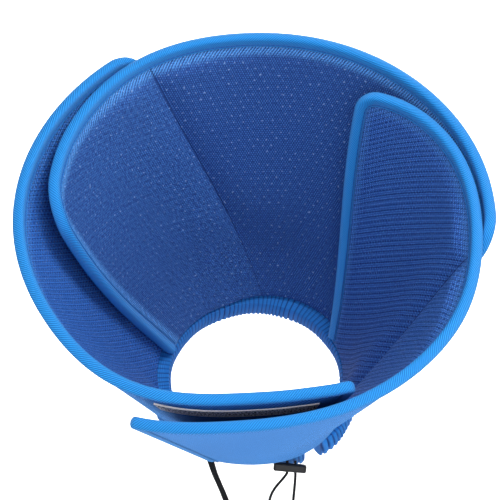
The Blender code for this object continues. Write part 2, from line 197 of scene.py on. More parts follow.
def bent_grid(long_steps, cross_steps, bend, flat, bm=None):
    """A flat grid bent into place; flat() gives a corner's place on the flat cloth, in metres."""
    bm = bm or bmesh.new()
    layer = bm.loops.layers.uv.get("flat_cloth") or bm.loops.layers.uv.new("flat_cloth")
    made = bmesh.ops.create_grid(bm, x_segments=long_steps, y_segments=cross_steps, size=0.5)["verts"]
    grid = {v: (round((v.co.x + 0.5) * long_steps), round((v.co.y + 0.5) * cross_steps)) for v in made}
    for face in {f for v in made for f in v.link_faces}:
        for corner in face.loops:
            corner[layer].uv = flat(*grid[corner.vert])
    for v, (along, across) in grid.items():
        v.co = bend(along, across)
    return bm


def finish_piece(name, bm, materials, merge=True):
    """Close the seams, point the faces outwards and make the named object."""
    if merge:
        bmesh.ops.remove_doubles(bm, verts=bm.verts, dist=MERGE_DISTANCE)
    bmesh.ops.recalc_face_normals(bm, faces=bm.faces)
    if bm.calc_volume(signed=True) < 0.0:
        bmesh.ops.reverse_faces(bm, faces=bm.faces)
    mesh = bpy.data.meshes.new(name)
    bm.to_mesh(mesh)
    bm.free()
    mesh.shade_smooth()
    mesh.set_sharp_from_angle(angle=math.radians(SHARP_FROM))
    for finish in materials:
        mesh.materials.append(finish)
    made = bpy.data.objects.new(name, mesh)
    bpy.context.collection.objects.link(made)
    print(name, len(mesh.vertices), "corners")
    return made


def cap_ends(bm):
    """Fill the open ends of a tube."""
    open_edges = [e for e in bm.edges if len(e.link_faces) == 1]
    if open_edges:
        bmesh.ops.holes_fill(bm, edges=open_edges)


def smooth_route(points, count):
    """Evenly spread points on a smooth curve through a route's own points."""
    points = [Vector(p) for p in points]
    fine = []
    for i in range(len(points) - 1):
        before = points[max(i - 1, 0)]
        after = points[min(i + 2, len(points) - 1)]
        start, end = points[i], points[i + 1]
        for k in range(FINE_STEPS):
            t = k / FINE_STEPS
            fine.append(0.5 * (2 * start + (end - before) * t
                               + (2 * before - 5 * start + 4 * end - after) * t * t
                               + (3 * start - before - 3 * end + after) * t**3))
    fine.append(points[-1])
    lengths = [0.0]
    for a, b in zip(fine, fine[1:]):
        lengths.append(lengths[-1] + (b - a).length)
    spread, i = [], 0
    for k in range(count):
        target = lengths[-1] * k / (count - 1)
        while i < len(fine) - 2 and lengths[i + 1] <= target:
            i += 1
        spread.append(fine[i].lerp(fine[i + 1], (target - lengths[i]) / (lengths[i + 1] - lengths[i])))
    return spread


# %% [markdown]
# ## The cone's own shape
#
# Every panel is a part of one cone that is never quite round: a table says, section by
# section, how far its rim stands out or drops. The panels overlap like the blades of a fan,
# so each one starts as the inner layer and ends as the outer one. The numbers are the
# CAD model's own, because the cloth has to lie where its solids are.

# %% Sizes, in metres and degrees
NECK_RADIUS = 0.0600
RIM_RADIUS = 0.1440
CONE_HEIGHT = 0.1880
WORN_TILT = 51.0
WALL = 0.0046
LAYER_STEP = 0.0073
CREASE_PAST_EDGE = 1.5
SLANT = math.hypot(CONE_HEIGHT, RIM_RADIUS - NECK_RADIUS)
tilt = Matrix.Rotation(math.radians(WORN_TILT), 3, "X")

Section = namedtuple("Section", "turn rim_out rim_drop hem_out hem_drop", defaults=(0.0, 0.0, 0.0))
Panel = namedtuple("Panel", "name start span start_lean start_bow end_lean "
                            "start_corner end_corner sections")

TOP = Panel("top", 178.5, 186.5, 16.0, 5.0, 0.0, 0.026, 0.022, (
    Section(0.00, -0.130), Section(0.07, -0.100), Section(0.16, -0.065), Section(0.31, -0.018),
    Section(0.47, -0.016), Section(0.63, 0.000), Section(0.80, 0.010), Section(1.00, 0.016),
))
RIGHT = Panel("right", 55.0, 172.5, 25.0, 0.0, 2.0, 0.014, 0.004, (
    Section(0.00, -0.190), Section(0.08, -0.110), Section(0.18, -0.065), Section(0.36, -0.042),
    Section(0.51, 0.003), Section(0.69, 0.030), Section(0.86, 0.050, 0.012, 0.000, 0.004),
    Section(1.00, 0.112, 0.062, 0.030, 0.008),
))
LEFT = Panel("left", -64.5, 175.5, 0.0, 0.0, 0.0, 0.007, 0.020, (
    Section(0.00, -0.048), Section(0.08, -0.078), Section(0.17, -0.072), Section(0.33, 0.012),
    Section(0.50, 0.013), Section(0.67, 0.024), Section(0.85, 0.032), Section(1.00, 0.048),
))
PANELS = (TOP, RIGHT, LEFT)


# %% The panels' shared surface
def between(rows, share, column):
    """A smooth value from a table's rows, read by name at a share of its length."""
    share = min(max(share, rows[0].turn), rows[-1].turn)
    places = [row.turn for row in rows]
    values = [getattr(row, column) for row in rows]
    index = max(i for i in range(len(rows) - 1) if places[i] <= share)
    step = places[index + 1] - places[index]
    t = (share - places[index]) / step

    def slope(i):
        low, high = max(i - 1, 0), min(i + 1, len(rows) - 1)
        return (values[high] - values[low]) / (places[high] - places[low])

    start, end = values[index], values[index + 1]
    return (start * (2 * t**3 - 3 * t**2 + 1) + slope(index) * step * (t**3 - 2 * t**2 + t)
            + end * (3 * t**2 - 2 * t**3) + slope(index + 1) * step * (t**3 - t**2))


def neighbour(panel, step):
    return PANELS[(PANELS.index(panel) + step) % len(PANELS)]


def layer(panel, turn):
    """0 for the inner layer and 1 for the outer one, with a crease where it leaves."""
    before, after = neighbour(panel, -1), neighbour(panel, 1)
    crease = (panel.start - before.start + before.span) % 360.0 + CREASE_PAST_EDGE
    covered = (panel.start - after.start) % 360.0 - CREASE_PAST_EDGE
    t = min(max((turn - crease) / (covered - crease), 0.0), 1.0)
    return 1.0 - (1.0 - t) ** 2


@lru_cache(maxsize=None)
def section_at(panel, turn):
    """Rim and hem of the wall at a turn: radius and level of each."""
    share = turn / panel.span
    rim = RIM_RADIUS * (1.0 + between(panel.sections, share, "rim_out"))
    rim_level = CONE_HEIGHT * (1.0 - between(panel.sections, share, "rim_drop"))
    hem = NECK_RADIUS * (1.0 + between(panel.sections, share, "hem_out"))
    hem += LAYER_STEP * layer(panel, turn)
    return rim, rim_level, hem, -CONE_HEIGHT * between(panel.sections, share, "hem_drop")


def middle(panel, turn, climb):
    """A point of the wall's middle: turn is clockwise, climb is 0 at the neck."""
    share = turn / panel.span
    rim, rim_level, hem, hem_level = section_at(panel, turn)
    lean = (panel.start_lean * (1.0 - share) - panel.end_lean * share) * (1.0 - climb) ** 2
    bow = panel.start_bow * (1.0 - share) * 4.0 * climb * (1.0 - climb)
    angle = math.radians(panel.start - turn - lean + bow)
    radius = hem + (rim - hem) * climb
    level = hem_level + (rim_level - hem_level) * climb
    return Vector((radius * math.cos(angle), radius * math.sin(angle), level))


def outward(panel, turn, climb):
    """The wall's own normal, away from the cone's axis."""
    step = 0.2
    low, high = max(turn - step, 0.0), min(turn + step, panel.span)
    along = middle(panel, high, climb) - middle(panel, low, climb)
    up = middle(panel, turn, min(climb + 0.01, 1.0)) - middle(panel, turn, max(climb - 0.01, 0.0))
    return up.cross(along).normalized()


def columns(panel, step, corner_steps):
    """The wall's columns as (turn, highest climb), bunched where a corner is round."""
    made = []
    start_turn = math.degrees(panel.start_corner / RIM_RADIUS)
    end_turn = math.degrees(panel.end_corner / RIM_RADIUS)
    for k in range(corner_steps):
        a = math.radians(90.0 * k / corner_steps)
        made.append((start_turn * (1.0 - math.cos(a)),
                     1.0 - panel.start_corner / SLANT * (1.0 - math.sin(a))))
    straight = panel.span - start_turn - end_turn
    count = round(straight / step)
    for k in range(count + 1):
        made.append((start_turn + straight * k / count, 1.0))
    for k in reversed(range(corner_steps)):
        a = math.radians(90.0 * k / corner_steps)
        made.append((panel.span - end_turn * (1.0 - math.cos(a)),
                     1.0 - panel.end_corner / SLANT * (1.0 - math.sin(a))))
    return made


def developed(panel, turn, climb):
    """The same point on the flat cloth: a cone unrolls into a fan without stretching."""
    opening = (RIM_RADIUS - NECK_RADIUS) / SLANT
    reach = NECK_RADIUS / opening + SLANT * climb
    fan = math.radians(turn - panel.span / 2) * opening
    return reach * math.sin(fan), reach * math.cos(fan)


# %% [markdown]
# ## Drawcord and tie
#
# Two thin things hang free at the front: the drawcord, whose loop leaves the casing,
# runs through the toggle, hangs down and comes back, and a flat tie. Both follow
# the CAD model's route point by point. The cord could be a curve with a round bevel, but a
# mesh tube carries a cloth map, so the braid can be wound round it.

# %% Where they are sewn on
BAND_SEAM_GAP = 0.0014
BAND_START, BAND_SPAN = -60.0, 349.0
BAND_HEIGHT, BAND_THICKNESS = 0.0175, 0.0130
PLEAT_DEPTH = 0.0011
BandCorner = namedtuple("BandCorner", "out down pleat")
BandRow = namedtuple("BandRow", "turn inset thick high pleat")
BAND_ROWS = (
    BandRow(0.000, 0.030, 0.55, 1.20, 0.3), BandRow(0.030, 0.080, 0.65, 1.10, 0.6),
    BandRow(0.070, 0.165, 0.80, 1.00, 1.0), BandRow(0.130, 0.180, 0.85, 1.00, 1.0),
    BandRow(0.190, 0.080, 1.00, 1.00, 1.0), BandRow(0.260, 0.000, 1.00, 1.00, 1.0),
    BandRow(0.940, 0.000, 1.00, 1.00, 1.0), BandRow(0.975, 0.005, 1.00, 1.05, 1.1),
    BandRow(1.000, 0.020, 0.85, 1.15, 1.2),
)
BAND_FRONT, BAND_UNDER = BandCorner(1.00, 0.30, 1.0), BandCorner(0.95, 0.68, 1.0)


def band_point(turn, corner, pleat):
    """A corner of the casing's section at a share of its length, in the cone's frame."""
    angle = math.radians(BAND_START - BAND_SPAN * turn)
    middle_radius = NECK_RADIUS * (1.0 - between(BAND_ROWS, turn, "inset")) + LAYER_STEP / 2
    depth = PLEAT_DEPTH * between(BAND_ROWS, turn, "pleat") * corner.pleat * pleat
    half = BAND_THICKNESS / 2 * between(BAND_ROWS, turn, "thick")
    radius = middle_radius + half * corner.out + math.copysign(depth, pleat * corner.out)
    height = BAND_HEIGHT * between(BAND_ROWS, turn, "high") * corner.down
    return Vector((radius * math.cos(angle), radius * math.sin(angle),
                   -BAND_SEAM_GAP - height - depth * corner.down))


def band_place(angle, corner):
    """A place on the outside of the casing, in the worn pose."""
    return tilt @ band_point((BAND_START - angle) % 360.0 / BAND_SPAN, corner, 1.0)


# %% Routes
CORD_DIAMETER = 0.0018
CORD_ROUTE = (
    (-0.0018, 0.0003, 0.0046), (-0.0018, 0.0001, 0.0038), (-0.0018, 0.0000, 0.0028),
    (-0.0018, 0.0000, -0.0028), (-0.0030, -0.0004, -0.0052), (-0.0058, -0.0008, -0.0086),
    (-0.0094, -0.0010, -0.0128), (-0.0122, -0.0008, -0.0175), (-0.0136, -0.0004, -0.0225),
    (-0.0130, 0.0000, -0.0280), (-0.0092, 0.0004, -0.0328), (-0.0036, 0.0006, -0.0336),
    (0.0008, 0.0006, -0.0300), (0.0020, 0.0004, -0.0240), (0.0026, 0.0000, -0.0180),
    (0.0032, -0.0002, -0.0115), (0.0036, 0.0000, -0.0060), (0.0036, 0.0000, -0.0028),
    (0.0036, 0.0000, 0.0028), (0.0036, 0.0001, 0.0038), (0.0036, 0.0003, 0.0046),
)
TIE_WIDTH, TIE_THICKNESS = 0.0045, 0.0010
TIE_ROUTE = (
    (0.0000, 0.0000, 0.0000), (0.0006, -0.0012, -0.0034), (0.0020, -0.0024, -0.0080),
    (0.0041, -0.0038, -0.0140), (0.0067, -0.0046, -0.0200), (0.0093, -0.0050, -0.0260),
    (0.0116, -0.0050, -0.0320), (0.0134, -0.0048, -0.0380),
)
TIE_TURNS = (0.0, 12.0, 25.0, 34.0, 38.0, 34.0, 28.0, 25.0)
EDGE_CLEARANCE = 0.0003
TOGGLE_AT, TOGGLE_FROM_BAND = -69.5, (0.0006, -0.0042, -0.0024)
TIE_AT = -119.0
toggle_place = band_place(TOGGLE_AT, BAND_UNDER) + Vector(TOGGLE_FROM_BAND)
tie_place = band_place(TIE_AT, BAND_FRONT) + Vector((0.0, -TIE_THICKNESS / 2 - EDGE_CLEARANCE, 0.0))


def route_length(route):
    return sum((b - a).length for a, b in zip(route, route[1:]))


def frames_along(route):
    """A direction and a steady sideways axis at each point of a route."""
    side = Vector((0.0, 1.0, 0.0))
    made = []
    for i, spot in enumerate(route):
        ahead = (route[min(i + 1, len(route) - 1)] - route[max(i - 1, 0)]).normalized()
        side = (side - ahead * side.dot(ahead)).normalized()
        made.append((spot, ahead, side))
    return made


# %% Black braid and flat tape
black_braid, tree, shader = start_material("black_braid", roughness=0.70)
shader.inputs["Specular IOR Level"].default_value = 0.2
forward = join(tree, "TexWave", {0: flat_cloth(tree, turned=45.0), "Scale": 420.0, "Distortion": 0.0})
back = join(tree, "TexWave", {0: flat_cloth(tree, turned=-45.0), "Scale": 420.0, "Distortion": 0.0})
crossed = join(tree, "Math", [forward, back], operation="MULTIPLY")
tree.links.new(blend_colour(tree, crossed, (0.003, 0.003, 0.004, 1.0), (0.022, 0.023, 0.026, 1.0)),
               shader.inputs["Base Color"])
raise_by(tree, shader, crossed, 0.0003)

# %% The drawcord
CORD_POINTS, CORD_SIDES = 160, 14
cord_route = smooth_route([toggle_place + Vector(step) for step in CORD_ROUTE], CORD_POINTS)
cord_frames = frames_along(cord_route)


def round_cord(along, across):
    spot, ahead, side = cord_frames[along]
    a = 2.0 * math.pi * across / CORD_SIDES
    return spot + (side * math.cos(a) + ahead.cross(side) * math.sin(a)) * CORD_DIAMETER / 2


cord_metres = route_length(cord_route)
bm = bent_grid(CORD_POINTS - 1, CORD_SIDES, round_cord,
               lambda along, across: (cord_metres * along / (CORD_POINTS - 1),
                                      math.pi * CORD_DIAMETER * across / CORD_SIDES))
bmesh.ops.remove_doubles(bm, verts=bm.verts, dist=MERGE_DISTANCE)
cap_ends(bm)
drawcord = finish_piece("drawcord_braid", bm, [black_braid])
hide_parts("drawcord")
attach(drawcord, "root")
print("drawcord", round(cord_metres * 1000, 1), "mm")

# %% The flat tie
TIE_POINTS, TIE_EDGE_STEP = 80, 0.00085
tie_route = smooth_route([tie_place + Vector(step) for step in TIE_ROUTE], TIE_POINTS)
tie_metres = route_length(tie_route)
TIE_EDGE = ((-1.0, 0.0), (-0.9, -0.8), (-0.6, -1.0), (0.0, -0.9), (0.6, -1.0), (0.9, -0.8),
            (1.0, 0.0), (0.9, 0.8), (0.6, 1.0), (0.0, 0.9), (-0.6, 1.0), (-0.9, 0.8))


def flat_tie(along, across):
    """The tie's section turns a little as it hangs."""
    spot = tie_route[along]
    ahead = (tie_route[min(along + 1, len(tie_route) - 1)] - tie_route[max(along - 1, 0)]).normalized()
    share = along / (len(tie_route) - 1) * (len(TIE_TURNS) - 1)
    low = min(int(share), len(TIE_TURNS) - 2)
    turned = TIE_TURNS[low] + (TIE_TURNS[low + 1] - TIE_TURNS[low]) * (share - low)
    side = Matrix.Rotation(math.radians(turned), 3, ahead) @ Vector((1.0, 0.0, 0.0))
    side = (side - ahead * side.dot(ahead)).normalized()
    a, b = TIE_EDGE[across % len(TIE_EDGE)]
    return spot + side * TIE_WIDTH / 2 * a + ahead.cross(side) * TIE_THICKNESS / 2 * b


bm = bent_grid(TIE_POINTS - 1, len(TIE_EDGE), flat_tie,
               lambda along, across: (tie_metres * along / (TIE_POINTS - 1), TIE_EDGE_STEP * across))
bmesh.ops.remove_doubles(bm, verts=bm.verts, dist=MERGE_DISTANCE)
cap_ends(bm)
tie = finish_piece("tie_tape_woven", bm, [black_braid])
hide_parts("tie_tape")
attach(tie, "root")
print("tie", round(tie_metres * 1000, 1), "mm")

# %% [markdown]
# ## Cloth
#
# Spacer mesh is knitted in two faces with a springy layer between them. The face that is
# seen inside the cone is royal blue, with small eyelets in staggered rows; their rims carry
# painted glints and their hollows painted shade. The other face is paler, with a fine ribbed knit.


# %% Pattern helpers
def staggered_dots(tree, cloth, pitch, rise, stretch=1.0):
    """Metres to the nearest dot of a staggered grid; stretch draws the dots out along the row."""
    scaled = join(tree, "VectorMath", [cloth, (1.0 / pitch, 1.0 / rise, 0.0)], operation="MULTIPLY")
    near = []
    for shift in (0.0, 0.5):
        moved = join(tree, "VectorMath", [scaled, (shift, shift, 0.0)], operation="ADD")
        share = join(tree, "VectorMath", [moved], operation="FRACTION")
        centred = join(tree, "VectorMath", [share, (0.5, 0.5, 0.0)], operation="SUBTRACT")
        metres = join(tree, "VectorMath", [centred, (pitch / stretch, rise, 0.0)], operation="MULTIPLY")
        near.append(join(tree, "VectorMath", [metres], out=1, operation="LENGTH"))
    return join(tree, "Math", near, operation="MINIMUM")


def times(tree, a, b):
    return join(tree, "Math", [a, b], operation="MULTIPLY")


def less(tree, share):
    """What a share leaves of one."""
    return join(tree, "Math", [1.0, share], operation="SUBTRACT")


# %% How each panel's inner face looks
# grain turns its rows, pitch and rise are the spaces of the eyelets, in metres, dark is how much
# painted shade lies in the eyelets and how deep they are bumped, glint how much painted glint
# lies on their rims, border how much painted light lies on the band beside a binding, and
# lit_side the side of its fold that is given painted light: -1 before the fold, 1 after it. loop
# and gap are the colours of its yarn, lighter or darker from panel to panel as painted light and
# shade on one cloth.
Knit = namedtuple("Knit", "panel grain pitch rise dark speck border lit_side loop gap")
# The three panels are one cloth: their loop and gap colours, glint and dark values differ from panel to
# panel as painted light and shade.
KNITS = (
    Knit("top", 0.0, 0.0062, 0.0098, 0.30, 0.60, 0.80, -1.0,
         (0.066, 0.235, 0.660, 1.0), (0.020, 0.058, 0.250, 1.0)),
    Knit("right", 66.0, 0.0031, 0.0069, 0.70, 0.12, 0.25, 1.0,
         (0.088, 0.320, 0.880, 1.0), (0.025, 0.078, 0.340, 1.0)),
    Knit("left", -68.0, 0.0044, 0.0050, 0.70, 0.30, 0.30, 1.0,
         (0.078, 0.370, 1.000, 1.0), (0.022, 0.090, 0.400, 1.0)),
)
BORDER_FROM, BORDER_TO = 0.0095, 0.0150       # the band of painted light beside a binding, from the panel's edge
CREASE_LINE = 0.0008                          # half the width of the painted shade line in a fold
LOOP_PITCH, LOOP_RISE = 0.0017, 0.0030        # from loop to loop, along and across the rows
GLINT_WANDER = 0.0050                         # how unevenly the painted glints are spread
EYELET_SHADE_BLUE = (0.004, 0.014, 0.100, 1.0)        # painted shade in the eyelets
CREASE_SHADE_BLUE = (0.006, 0.020, 0.110, 1.0)      # painted shade in the fold's line
FOLD_LIGHT_BLUE = (0.130, 0.420, 1.000, 1.0)     # painted light on the side of a fold that faces the light
BORDER_LIGHT_BLUE = (0.130, 0.430, 0.950, 1.0)      # painted light on the band beside a binding
GLINT_BLUE = (0.38, 0.58, 0.95, 1.0)          # painted glint on the rims of the eyelets


# %% Inner knit
def inner_knit(knit):
    """One panel's inner face: loops in fine columns and staggered eyelets, with painted shade in the
    eyelets and along the fold, and painted light beside the bindings, on one side of the fold and as glints
    on the eyelets' rims.
    """
    made, tree, shader = start_material(f"inner_knit_{knit.panel}", roughness=0.80)
    shader.inputs["Specular IOR Level"].default_value = 0.12
    cloth = flat_cloth(tree, turned=-knit.grain)
    patchy = join(tree, "TexNoise", {0: cloth, "Scale": 90.0, "Detail": 4.0})
    mottled = join(tree, "TexNoise", {0: cloth, "Scale": 560.0, "Detail": 2.0})
    hole = staggered_dots(tree, cloth, knit.pitch, knit.rise, 2.0)
    eyelet = less(tree, ramp(tree, hole, 0.0002, 0.0010))
    wander = join(tree, "TexNoise", {0: cloth, "Scale": 140.0, "Detail": 1.0}, out=1)
    wander = join(tree, "VectorMath", {0: wander, 3: GLINT_WANDER}, operation="SCALE")
    glint_distance = staggered_dots(tree, join(tree, "VectorMath", [cloth, wander], operation="ADD"),
                           knit.pitch, knit.rise)
    rim = less(tree, ramp(tree, glint_distance, 0.0001, 0.0008))
    loops = ramp(tree, staggered_dots(tree, cloth, LOOP_PITCH, LOOP_RISE, 0.7), 0.00020, 0.00090)
    base = blend_colour(tree, loops, knit.loop, knit.gap)
    base = blend_colour(tree, times(tree, ramp(tree, mottled, 0.42, 0.72), 0.75), base, knit.gap)
    # Painted shade darkens the eyelets.
    base = blend_colour(tree, times(tree, eyelet, knit.dark), base, EYELET_SHADE_BLUE)

    # Painted light on the side of the fold that faces the light.
    fold = join(tree, "Attribute", {}, out=2, attribute_name="fold")
    lit = ramp(tree, times(tree, fold, knit.lit_side), 0.0, 0.003)
    lit = times(tree, times(tree, lit, ramp(tree, mottled, 0.60, 0.35)), 0.13)
    base = blend_colour(tree, lit, base, FOLD_LIGHT_BLUE)
    # Painted light on the band beside a binding, broken up by knit strokes.
    edge = join(tree, "Attribute", {}, out=2, attribute_name="edge")
    strokes = join(tree, "TexWave", {0: flat_cloth(tree, turned=32.0 - knit.grain), "Scale": 170.0,
                                     "Distortion": 1.5, "Detail": 1.0, "Detail Scale": 2.0})
    border = times(tree, less(tree, ramp(tree, edge, BORDER_FROM, BORDER_TO)), knit.border)
    border = times(tree, border, ramp(tree, strokes, 0.15, 0.75))
    base = blend_colour(tree, border, base, BORDER_LIGHT_BLUE)
    # Painted glints on the eyelets' rims.
    glint_share = times(tree, times(tree, rim, ramp(tree, patchy, 0.35, 0.60)), knit.speck)
    base = blend_colour(tree, glint_share, base, GLINT_BLUE)
    # Painted shade along the fold's line.
    from_line = join(tree, "Math", [fold], operation="ABSOLUTE")
    crease_shade = less(tree, ramp(tree, from_line, 0.0, CREASE_LINE))
    base = blend_colour(tree, times(tree, crease_shade, 0.85), base, CREASE_SHADE_BLUE)
    tree.links.new(base, shader.inputs["Base Color"])
    height = join(tree, "Math", [times(tree, loops, -1.0), times(tree, eyelet, knit.dark)],
                  operation="SUBTRACT")
    raise_by(tree, shader, height, 0.0008)
    return made


inner_knits = {knit.panel: inner_knit(knit) for knit in KNITS}

# %% Outer knit
outer_knit, tree, shader = start_material("outer_knit", roughness=0.80)
cloth = flat_cloth(tree)
shader.inputs["Specular IOR Level"].default_value = 0.12
rib = join(tree, "TexWave", {0: cloth, "Scale": 172.0, "Distortion": 0.0})
link = ramp(tree, staggered_dots(tree, cloth, 0.0036, 0.0030, 0.8), 0.0003, 0.0011)
rib = times(tree, ramp(tree, rib, 0.15, 0.70), less(tree, times(tree, link, 0.35)))
tree.links.new(blend_colour(tree, rib, (0.012, 0.095, 0.360, 1.0), (0.110, 0.430, 1.000, 1.0)),
               shader.inputs["Base Color"])
raise_by(tree, shader, rib, 0.0005)

# %% Twill tape
twill, tree, shader = start_material("bright_twill", roughness=0.62, sheen_weight=0.08, sheen_roughness=0.4)
shader.inputs["Specular IOR Level"].default_value = 0.2
line = join(tree, "TexWave", {0: flat_cloth(tree, turned=50.0), "Scale": 280.0, "Distortion": 0.0})
tree.links.new(blend_colour(tree, line, (0.008, 0.150, 0.500, 1.0), (0.022, 0.315, 0.790, 1.0)),
               shader.inputs["Base Color"])
raise_by(tree, shader, line, 0.00045)

# %% [markdown]
# ## Padded panels
#
# A panel could be one thick sheet, but padding swells where nothing holds it and is thin
# where it is sewn. So each panel is made as a closed pad from a bent grid, its edges
# are held, and a short cloth simulation with a little pressure inside puffs it up. How far
# it may move is capped, so it stays in its own space between its neighbours.


# %% Folds that the cloth has taken
BINDING_FACE = 0.0085
# A fold runs from rim_turn to hem_turn. On both sides of it the wall rises to valley, at
# reach from it. sharp is the crease's own width, and below the climb low it has died away.
Fold = namedtuple("Fold", "rim_turn hem_turn valley reach sharp low")
FOLDS = {
    "top": Fold(58.3, 84.0, 0.0042, 0.018, 0.0005, 0.15),
    "right": Fold(66.5, 74.0, 0.0052, 0.022, 0.0010, 0.00),
}
FADE = 0.25                   # a fold takes this much climb to reach its full depth
NO_FOLD = -1.0                # where a panel has none, every point lies this far from it
SHOULDER = 0.0012             # how much thicker the padding gets past a binding
SHOULDER_REACH = (BINDING_FACE - 0.002, BINDING_FACE + 0.004)
SHOULDER_CLIMB = 0.35         # above this climb the padding has its full thickness
CREASE_REACH = (BINDING_FACE - 0.001, BINDING_FACE + 0.011)


def smooth(value, low, high):
    t = min(max((value - low) / (high - low), 0.0), 1.0)
    return t * t * (3.0 - 2.0 * t)


def edge_distance(panel, turn, climb, top):
    """How far a point of the wall lies from the panel's free edges."""
    radius = NECK_RADIUS + (RIM_RADIUS - NECK_RADIUS) * climb
    to_start, to_end = math.radians(turn) * radius, math.radians(panel.span - turn) * radius
    return min(SLANT * (top - climb), to_start, to_end)


def past_fold(fold, turn, climb):
    """How far a point lies past a fold, in metres along the wall."""
    radius = NECK_RADIUS + (RIM_RADIUS - NECK_RADIUS) * climb
    return math.radians(turn - fold.rim_turn - (fold.hem_turn - fold.rim_turn) * (1.0 - climb)) * radius


def folded(fold, away, climb):
    """How far inwards a fold pushes the wall here."""
    far = (math.hypot(away, fold.sharp) - fold.sharp) / fold.reach
    return fold.valley * far * math.exp(1.0 - far) * smooth(climb, fold.low, fold.low + FADE)


# %% Pads
PAD_STEP, PAD_CORNER_STEPS, PAD_ROWS = ((1.5, 8, 48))
NOTES = ("turn", "climb", "edge")             # what each corner of a pad keeps about its place


def make_pad(panel):
    """A closed pad: two bent grids, joined round their edges."""
    walls, rows = columns(panel, PAD_STEP, PAD_CORNER_STEPS), PAD_ROWS
    bm = bmesh.new()
    notes = {name: bm.verts.layers.float.new(name) for name in NOTES}
    for side in (-0.5, 0.5):
        def bend(along, across, side=side):
            turn, top = walls[along]
            climb = top * across / rows
            beside = smooth(edge_distance(panel, turn, climb, top), *SHOULDER_REACH)
            rise = SHOULDER * beside * smooth(climb, 0.0, SHOULDER_CLIMB)
            return middle(panel, turn, climb) + outward(panel, turn, climb) * (WALL + rise) * side

        def flat(along, across):
            turn, top = walls[along]
            return developed(panel, turn, top * across / rows)

        bent_grid(len(walls) - 1, rows, bend, flat, bm)
        if side < 0.0:
            inner_faces = set(bm.faces)
    for face in bm.faces:
        face.material_index = 0 if face in inner_faces else 1
    bmesh.ops.bridge_loops(bm, edges=[e for e in bm.edges if len(e.link_faces) == 1])
    bm.verts.ensure_lookup_table()
    count = len(bm.verts) // 2
    for index, corner in enumerate(bm.verts):
        place = index % count
        turn, top = walls[place % len(walls)]
        climb = top * (place // len(walls)) / rows
        corner[notes["turn"]], corner[notes["climb"]] = turn, climb
        corner[notes["edge"]] = edge_distance(panel, turn, climb, top)
    bmesh.ops.transform(bm, matrix=tilt.to_4x4(), verts=bm.verts)
    pad = finish_piece(f"{panel.name}_padding", bm, [inner_knits[panel.name], outer_knit], merge=False)
    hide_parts(f"{panel.name}_panel")
    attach(pad, "root")
    return pad


pads = [make_pad(panel) for panel in PANELS]

# %% Swell the pads
SWELL_FRAMES = 20
SWELL_CAP = 0.0012
SEWN_WITHIN, FREE_BEYOND = 0.0060, 0.0105     # from the panel's edge
HEM_HELD = 0.0040                             # above the neck seam


def swell(pads):
    """A short cloth simulation with pressure inside, kept as plain meshes afterwards."""
    for pad in pads:
        held = pad.vertex_groups.new(name="sewn")
        edges, climbs = pad.data.attributes["edge"].data, pad.data.attributes["climb"].data
        for corner, edge, climb in zip(pad.data.vertices, edges, climbs):
            share = 1.0 - smooth(edge.value, SEWN_WITHIN, FREE_BEYOND)
            held.add([corner.index], 1.0 if climb.value * SLANT < HEM_HELD else share, "REPLACE")
        cloth = pad.modifiers.new("swelling", "CLOTH")
        cloth.settings.quality = 5
        cloth.settings.mass = 0.15
        cloth.settings.tension_stiffness = 15.0
        cloth.settings.compression_stiffness = 15.0
        cloth.settings.bending_stiffness = 0.5
        cloth.settings.use_pressure = True
        cloth.settings.uniform_pressure_force = 4.0
        cloth.settings.vertex_group_mass = "sewn"
        cloth.settings.effector_weights.gravity = 0.0
        cloth.collision_settings.use_collision = False
        cloth.collision_settings.use_self_collision = False
        cloth.point_cache.frame_start, cloth.point_cache.frame_end = 1, SWELL_FRAMES
    for number in range(1, SWELL_FRAMES + 1):
        bpy.context.scene.frame_set(number)
    ready = bpy.context.evaluated_depsgraph_get()
    for pad in pads:
        swollen = [v.co.copy() for v in pad.evaluated_get(ready).data.vertices]
        most = 0.0
        for corner, place in zip(pad.data.vertices, swollen):
            move = place - corner.co
            most = max(most, move.length)
            corner.co += move * (SWELL_CAP / (SWELL_CAP + move.length))
        pad.modifiers.clear()
        pad.vertex_groups.clear()
        print(pad.name, "swelled by up to", round(most * 1000, 1), "mm before the cap")
    bpy.context.scene.frame_set(1)


swell(pads)


# %% Smooth the pads and crease them
def crease(pad, panel):
    """One subdivision, and then the folds, which are narrower than the simulated grid."""
    smoother = pad.modifiers.new("smoother", "SUBSURF")
    smoother.levels = smoother.render_levels = 1
    finer = bpy.data.meshes.new_from_object(pad.evaluated_get(bpy.context.evaluated_depsgraph_get()))
    pad.modifiers.clear()
    pad.data = finer
    notes = {name: [x.value for x in finer.attributes[name].data] for name in NOTES}
    fold = FOLDS.get(panel.name)
    # The distance from the fold, which the knit turns into painted light on one side and painted shade
    # along its line.
    from_fold = finer.attributes.new("fold", "FLOAT", "POINT").data
    for corner in finer.vertices:
        turn, climb, edge = (notes[name][corner.index] for name in NOTES)
        from_fold[corner.index].value = NO_FOLD
        if fold:
            away = past_fold(fold, turn, climb)
            faded = 1.0 - smooth(climb, fold.low, fold.low + FADE)
            from_fold[corner.index].value = away + math.copysign(faded * CREASE_LINE, away)
            push = folded(fold, away, climb) * smooth(edge, *CREASE_REACH)
            corner.co -= tilt @ outward(panel, turn, climb) * push


for pad, panel in zip(pads, PANELS):
    crease(pad, panel)

# %% [markdown]
# ## Rolled bindings
#
# The binding is a strip of twill, folded over the edge and stitched through all layers. Its
# section is worked out as one closed outline, a plump roll with two lips that press on
# the cloth, and carried along the panel's free edges.

# %% Binding
BINDING_CLOTH = 0.0007
BINDING_ROLL = 0.0014
BINDING_HEM = 0.0020
